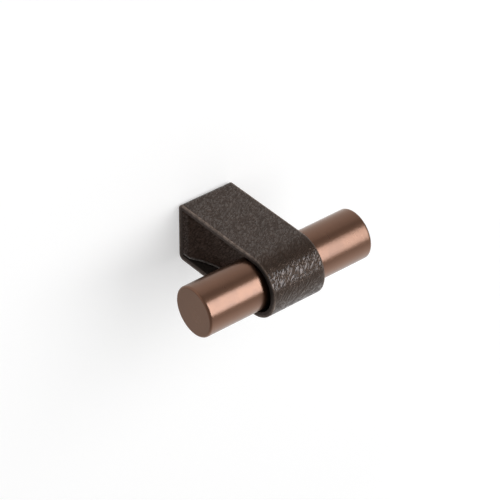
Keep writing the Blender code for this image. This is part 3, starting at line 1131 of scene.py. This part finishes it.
@dataclass
class Bar:
    """The round bar that the hand pulls, with eased ends and a blind tapped hole."""

    diameter: float = 14.0 * MM
    length: float = 53.0 * MM
    edge_radius: float = 0.6 * MM
    axis_height: float = 29.2 * MM
    hole_radius: float = 2.2 * MM
    hole_depth: float = 8.0 * MM
    hole_point: float = 1.3 * MM
    segments: int = 192

    def profile(self) -> list[tuple[float, float, float, float]]:
        """Return the bar's profile from one end's centre to the other's."""
        radius, half, ease = self.diameter / 2, self.length / 2, self.edge_radius
        line = [(0.0, half), (radius * 0.5, half), (radius - ease * 1.25, half)]
        line += [(r, x) for x, r in arc((half - ease, radius - ease), ease, 0.0, 90.0, 8)]
        line += [(radius, half - ease * 1.4), (radius, 4.0 * MM)]
        line += [(r, -x) for r, x in reversed(line)]
        return [(r, x, 0.0, 0.0) for r, x in line]

    def build(self, metal: bpy.types.Material) -> bpy.types.Object:
        """Build and dress the bar.

        Args:
            metal: Its finish.

        Returns:
            The finished piece.
        """
        bar = turned(Part.BAR.value, self.profile(), self.segments, metal)
        settle(bar)
        bar.data.transform(Matrix.Translation((0.0, 0.0, self.axis_height)) @ Matrix.Rotation(math.pi / 2, 4, "Y"))
        bottom = self.axis_height - self.diameter / 2
        tip = bottom + self.hole_depth
        cut_away(bar, drill("bar_hole", self.hole_radius, bottom - MM, tip - self.hole_point, tip, 48))
        return register(bar, "bar_metal", "bar")


@dataclass
class Core:
    """The cast block between the strap's two runs, with a leather facing on each flared side."""

    foot_width: float = 16.5 * MM
    neck_width: float = 8.4 * MM
    bottom: float = 1.62 * MM
    foot_top: float = 4.0 * MM
    neck_start: float = 18.0 * MM
    top: float = 25.4 * MM
    half_depth: float = 7.0 * MM
    facing_thickness: float = 0.6 * MM
    skive: tuple[float, float] = (0.7 * MM, 0.35 * MM)
    cradle_radius: float = 7.2 * MM
    bar_axis_height: float = 29.2 * MM
    steps: int = 40

    def half_width(self, height: float) -> float:
        """Return the half width over the facings at a height: straight foot, hollow flare, straight neck."""
        if height <= self.foot_top:
            return self.foot_width / 2
        if height >= self.neck_start:
            return self.neck_width / 2
        rise = self.neck_start - self.foot_top
        draw_in = (self.foot_width - self.neck_width) / 2
        radius = (rise ** 2 + draw_in ** 2) / (2 * draw_in)
        return self.neck_width / 2 + radius - math.sqrt(radius ** 2 - (self.neck_start - height) ** 2)

    def facing_path(self, side: Side) -> list[tuple[Vector, Vector]]:
        """Return the paired outer and inner points of one facing, from foot to neck.

        Args:
            side: Which flared side it covers.

        Returns:
            The path.
        """
        rise = self.neck_start - self.foot_top
        heights = [self.bottom] + [self.foot_top + rise * i / self.steps for i in range(self.steps + 1)] + [self.top]
        path = []
        for z in heights:
            x = self.half_width(z)
            path.append((Vector((side.value * x, 0.0, z)),
                         Vector((side.value * (x - self.facing_thickness), 0.0, z))))
        return path

    def build_facing(self, side: Side, grain: bpy.types.Material, edge: bpy.types.Material,
                     flesh: bpy.types.Material) -> bpy.types.Object:
        """Build and dress one facing.

        Args:
            side: Which flared side it covers.
            grain: The finish of its outer side.
            edge: The finish of its edges.
            flesh: The finish of its glued side.

        Returns:
            The finished piece.
        """
        part = Part.RIGHT_FACING if side is Side.RIGHT else Part.LEFT_FACING
        section = StripSection(2 * self.half_depth, self.facing_thickness, self.skive, (0.05 * MM, 0.05 * MM),
                               face_steps=26, edge_steps=2)
        strip = LeatherStrip(part.value, self.facing_path(side), section, (0.0, 1.0, 0.0),
                             swell=0.03 * MM, fray=0.02 * MM, seed=7.0 + side.value, step=0.5 * MM)
        facing = strip.build(grain, edge, flesh)
        reach = self.foot_width
        cradle = drill("cradle", self.cradle_radius, -reach, reach, reach, 144)
        settle(cradle)
        cradle.data.transform(
            Matrix.Translation((0.0, 0.0, self.bar_axis_height)) @ Matrix.Rotation(math.pi / 2, 4, "Y"))
        cut_away(facing, cradle, LEATHER_SHARP)
        return register(facing, "facing_leather", "side_facing_right" if side is Side.RIGHT else "side_facing_left")

    def dress_block(self, metal: bpy.types.Material) -> None:
        """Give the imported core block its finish.

        Args:
            metal: The finish.
        """
        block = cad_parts["core_block"]
        block.data.materials.clear()
        block.data.materials.append(metal)
        log.info("core_block: packed node dressed")


@dataclass
class Fixings:
    """The screw that draws the bar into the core, and the insert that takes the cabinet's screw."""

    shank_radius: float = 2.0 * MM
    head_radius: float = 3.5 * MM
    head_bottom: float = 6.4 * MM
    head_top: float = 9.2 * MM
    tip: float = 28.7 * MM
    point_chamfer: float = 0.5 * MM
    pitch: float = 0.7 * MM
    thread_depth: float = 0.38 * MM
    hex_across_flats: float = 3.0 * MM
    hex_depth: float = 1.6 * MM
    insert_radius: float = 4.0 * MM
    insert_bore: float = 1.7 * MM
    insert_bottom: float = 1.8 * MM
    insert_top: float = 5.8 * MM

    def build_screw(self, steel: bpy.types.Material) -> bpy.types.Object:
        """Build and dress the socket screw with its knurled head and rolled thread.

        Args:
            steel: Its finish.

        Returns:
            The finished piece.
        """
        ease = 0.25 * MM
        line = [(0.0, self.head_bottom, 0.0, 0.0), (self.head_radius - ease, self.head_bottom, 0.0, 0.0),
                (self.head_radius, self.head_bottom + ease, 0.0, 0.0),
                (self.head_radius, self.head_bottom + 2 * ease, 0.12 * MM, 0.0),
                (self.head_radius, self.head_top - 2 * ease, 0.12 * MM, 0.0),
                (self.head_radius, self.head_top - ease, 0.0, 0.0), (self.head_radius - ease, self.head_top, 0.0, 0.0),
                (self.shank_radius - 0.05 * MM, self.head_top, 0.0, 0.0)]
        start, end = self.head_top + 1.5 * MM, self.tip - self.point_chamfer
        line.append((self.shank_radius - 0.05 * MM, start, 0.0, 0.0))
        rows = round((end - start) / (self.pitch / 6))
        line += [(self.shank_radius, start + (end - start) * i / rows, 0.0, self.thread_depth)
                 for i in range(1, rows + 1)]
        line += [(self.shank_radius - self.point_chamfer, self.tip, 0.0, 0.0), (0.0, self.tip, 0.0, 0.0)]
        screw = turned(Part.SCREW.value, line, 72, steel, ridges=36.0, pitch=self.pitch)
        corner = self.hex_across_flats / math.sqrt(3.0)
        depth = self.head_bottom + self.hex_depth
        cut_away(screw, drill("hex_socket", corner, self.head_bottom - MM, depth, depth + 0.5 * MM, 6))
        return register(screw, "screw_steel", "bar_screw")

    def build_insert(self, brass: bpy.types.Material) -> bpy.types.Object:
        """Build and dress the knurled insert with its inside thread.

        Args:
            brass: Its finish.

        Returns:
            The finished piece.
        """
        outer, bore, low, high = self.insert_radius, self.insert_bore, self.insert_bottom, self.insert_top
        middle = (low + high) / 2
        knurl, groove, mouth = 0.18 * MM, 0.4 * MM, 0.5 * MM
        line = [(bore + mouth, low, 0.0, 0.0), (outer - 0.3 * MM, low, 0.0, 0.0), (outer, low + 0.3 * MM, knurl, 0.0),
                (outer, middle - groove, knurl, 0.0), (outer - groove, middle - groove, 0.0, 0.0),
                (outer - groove, middle + groove, 0.0, 0.0), (outer, middle + groove, knurl, 0.0),
                (outer, high - 0.3 * MM, knurl, 0.0), (outer - 0.3 * MM, high, 0.0, 0.0), (bore, high, 0.0, 0.0)]
        rows = 30
        bottom = low + mouth
        line += [(bore + 0.3 * MM, high - (high - bottom) * i / rows, 0.0, 0.3 * MM) for i in range(1, rows)]
        line += [(bore, bottom, 0.0, 0.0), line[0]]
        insert = turned(Part.INSERT.value, line, 96, brass, ridges=32.0, pitch=self.pitch)
        settle(insert)
        return register(insert, "insert_brass", "threaded_insert")


# ---------------------------------------------------------------------------
# Studio
# ---------------------------------------------------------------------------


@dataclass
class Studio:
    """A plain pale floor, two lamps, a soft surround and the camera of the photograph."""

    lens: float = 165.93
    azimuth: float = 40.456
    elevation: float = 38.043
    roll: float = 126.45
    distance: float = 601.85 * MM
    target: tuple[float, float, float] = (-6.137 * MM, 6.256 * MM, 11.572 * MM)
    floor_size: float = 30.0
    floor_drop: float = 0.04 * MM
    floor_bounce: float = 0.90
    floor_colour: float = 0.64
    floor_glow: float = 0.45
    mirror_side: tuple[float, float, float] = (-0.5, -0.85, 0.0)
    mirror_reach: tuple[float, float] = (12.0 * MM, 180.0 * MM)
    mirror_left: float = 0.30
    mirror_far: float = 1.15
    white_reach: tuple[float, float] = (130.0 * MM, 420.0 * MM)
    strip_direction: tuple[float, float, float] = (-0.465, -0.371, 0.804)
    strip_size: tuple[float, float] = (0.92, 0.235)
    strip_energy: float = 5.75
    strip_colour: tuple[float, float, float] = (0.88, 1.0, 1.12)
    fill_direction: tuple[float, float, float] = (-0.40, -0.40, 0.82)
    fill_size: tuple[float, float] = (1.1, 1.1)
    fill_energy: float = 8.8
    lamp_distance: float = 1.0
    lamp_long_side: tuple[float, float, float] = (0.0, 0.894, 0.413)
    surround_low: float = 0.47
    surround_high: float = 1.38
    surround_lean: tuple[float, float, float] = (-0.45, 0.85, 0.10)
    surround_reach: tuple[float, float] = (0.25, 1.0)
    surround_spread: float = 0.34

    def build_floor(self) -> None:
        """Lay the floor, which shows white to the camera and keeps the shadow."""
        bm = bmesh.new()
        bmesh.ops.create_grid(bm, x_segments=8, y_segments=8, size=self.floor_size / 2)
        bmesh.ops.translate(bm, verts=bm.verts, vec=(0.0, 0.0, -self.floor_drop))
        mesh = bpy.data.meshes.new("studio_floor")
        bm.to_mesh(mesh)
        bm.free()
        floor = new_object("studio_floor", mesh)
        material, bench, shader = open_material("studio_floor")
        path = bench.add("ShaderNodeLightPath")
        seen = bench.math("MAXIMUM", path.outputs["Is Camera Ray"], path.outputs["Is Glossy Ray"])
        seen = bench.math("MAXIMUM", seen, path.outputs["Is Transmission Ray"])
        shade = bench.remap(seen, 0.0, 1.0, self.floor_bounce, self.floor_colour)
        away = bench.dot(read_object(bench), self.mirror_side)
        near, far = self.mirror_reach
        dimmed = bench.remap(away, near, far, 1.0, self.mirror_left)
        dimmed = bench.math("MULTIPLY", dimmed, bench.remap(away, -far, -near, self.mirror_far, 1.0))
        distance = bench.add("ShaderNodeVectorMath", {0: read_object(bench)}, operation="LENGTH").outputs["Value"]
        start, end = self.white_reach
        shown = bench.remap(distance, start, end, 1.0, 1.0 / self.floor_glow)
        glow = bench.blend(path.outputs["Is Camera Ray"], dimmed, shown, "FLOAT")
        glow = bench.math("MULTIPLY", glow, self.floor_glow)
        bench.fill(shader, {
            "Base Color": bench.join(shade, shade, shade), "Roughness": 1.0, "Specular IOR Level": 0.0,
            "Emission Color": (1.0, 1.0, 1.0, 1.0), "Emission Strength": bench.math("MULTIPLY", seen, glow)})
        mesh.materials.append(material)

    def build_surround(self) -> None:
        """Light the scene from all round: even in diffuse light, brighter on one side in reflections."""
        world = bpy.data.worlds.new("surround")
        world.use_nodes = True
        bpy.context.scene.world = world
        bench = Bench(world.node_tree)
        background = world.node_tree.nodes["Background"]
        way = bench.add("ShaderNodeTexCoord").outputs["Generated"]
        toward = bench.dot(way, self.surround_lean)
        level = bench.remap(toward, *self.surround_reach, self.surround_low, self.surround_high)
        path = bench.add("ShaderNodeLightPath")
        level = bench.blend(path.outputs["Is Diffuse Ray"], level, self.surround_spread, "FLOAT")
        level = bench.blend(path.outputs["Is Camera Ray"], level, 1.0, "FLOAT")
        bench.fill(background, {"Color": bench.join(level, level, level), "Strength": 1.0})

    def build_lamp(self, name: str, direction: tuple[float, float, float], size: tuple[float, float],
                   energy: float) -> bpy.types.Object:
        """Hang one rectangular soft box that faces the knob.

        Args:
            name: The lamp's name.
            direction: Where it hangs, seen from the knob.
            size: Its length and width.
            energy: Its power.

        Returns:
            The lamp.
        """
        lamp = bpy.data.lights.new(name, "AREA")
        lamp.shape = "RECTANGLE"
        lamp.size, lamp.size_y = size
        lamp.energy = energy
        obj = new_object(name, lamp)
        back = Vector(direction).normalized()
        long_side = Vector(self.lamp_long_side)
        long_side = (long_side - long_side.dot(back) * back).normalized()
        short_side = back.cross(long_side)
        turn = Matrix((long_side, short_side, back)).transposed()
        obj.matrix_world = Matrix.Translation(back * self.lamp_distance) @ turn.to_4x4()
        return obj

    def build_lamps(self) -> None:
        """Hang a strip that shows in the metal and the leather, and a broad box that casts the soft shadow."""
        strip = self.build_lamp("strip_box", self.strip_direction, self.strip_size, self.strip_energy)
        strip.data.color = self.strip_colour
        strip.visible_diffuse = False
        fill = self.build_lamp("fill_box", self.fill_direction, self.fill_size, self.fill_energy)
        fill.visible_glossy = False

    def build_camera(self) -> None:
        """Set the camera where the photograph was taken from."""
        data = bpy.data.cameras.new("camera")
        data.lens = self.lens
        data.sensor_width = 36.0
        data.clip_start, data.clip_end = 0.01, 100.0
        camera = new_object("camera", data)
        azimuth, elevation = math.radians(self.azimuth), math.radians(self.elevation)
        back = Vector((math.sin(azimuth) * math.cos(elevation), -math.cos(azimuth) * math.cos(elevation),
                       math.sin(elevation)))
        right = Vector((0.0, 0.0, 1.0)).cross(back).normalized()
        up = back.cross(right)
        upright = Matrix((right, up, back)).transposed().to_4x4()
        turn = Matrix.Rotation(math.radians(self.roll), 4, "Z")
        camera.matrix_world = Matrix.Translation(Vector(self.target) + back * self.distance) @ upright @ turn
        bpy.context.scene.camera = camera

    def build(self) -> None:
        """Build the studio."""
        self.build_camera()
        self.build_floor()
        self.build_surround()
        self.build_lamps()
        bpy.context.scene.view_settings.view_transform = "Standard"
        log.info("studio ready")


def main() -> None:
    """Build the studio and every sub-assembly."""
    logging.basicConfig(level=logging.INFO, format="%(name)s: %(message)s")
    Studio().build()

    strap_grain = GrainLeather("strap_grain").material()
    strap_edge = CutEdge("strap_cut_edge").material()
    strap_flesh = FleshSide("strap_flesh").material()
    FoldedStrap().build(strap_grain, strap_edge, strap_flesh)

    copper = SatinMetal("satin_copper", (0.144, 0.060, 0.028, 1.0), (0.124, 0.050, 0.023, 1.0),
                        roughness=(0.28, 0.32), edge_tint=(0.80, 0.70, 0.62, 1.0), lacquer=0.8,
                        end_at=Bar.length / 2, painted_shade_at_ends=0.66).material()
    Bar().build(copper)

    core = Core()
    facing_grain = GrainLeather(
        "facing_grain", base=(0.021, 0.011, 0.008, 1.0), crease_dye_and_shade=(0.009, 0.005, 0.003, 1.0),
        pale=(0.040, 0.024, 0.019, 1.0), rim=(0.23, 0.21, 0.20, 1.0), cell_size=0.8 * MM, relief=0.07 * MM,
        specular=0.2, polish=0.0, roughness=(0.42, 0.5), half_width=7.0 * MM, rim_reach=1.05 * MM,
        rim_depth=0.6 * MM, shaded_bend_share=1.0, rim_one_sided=True).material()
    facing_edge = CutEdge(
        "facing_cut_edge", thickness=0.6 * MM, half_width=7.0 * MM, outer=(0.05, 0.035, 0.03, 1.0),
        inner=(0.022, 0.015, 0.012, 1.0), rim=(0.23, 0.21, 0.20, 1.0), shaded_bend_share=1.0).material()
    for side in Side:
        core.build_facing(side, facing_grain, facing_edge, strap_flesh)
    core.dress_block(CastMetal("core_zinc").material())

    fixings = Fixings()
    steel = SatinMetal("satin_steel", (0.46, 0.47, 0.49, 1.0), (0.30, 0.31, 0.33, 1.0), roughness=(0.28, 0.40),
                       line_size=(2.0 * MM, 2.0 * MM, 0.05 * MM), patch_size=2.5 * MM).material()
    brass = SatinMetal("satin_brass", (0.58, 0.42, 0.17, 1.0), (0.40, 0.28, 0.10, 1.0), roughness=(0.25, 0.38),
                       line_size=(2.0 * MM, 2.0 * MM, 0.06 * MM), patch_size=2.0 * MM).material()
    fixings.build_screw(steel)
    fixings.build_insert(brass)


if __name__ == "__main__":
    main()
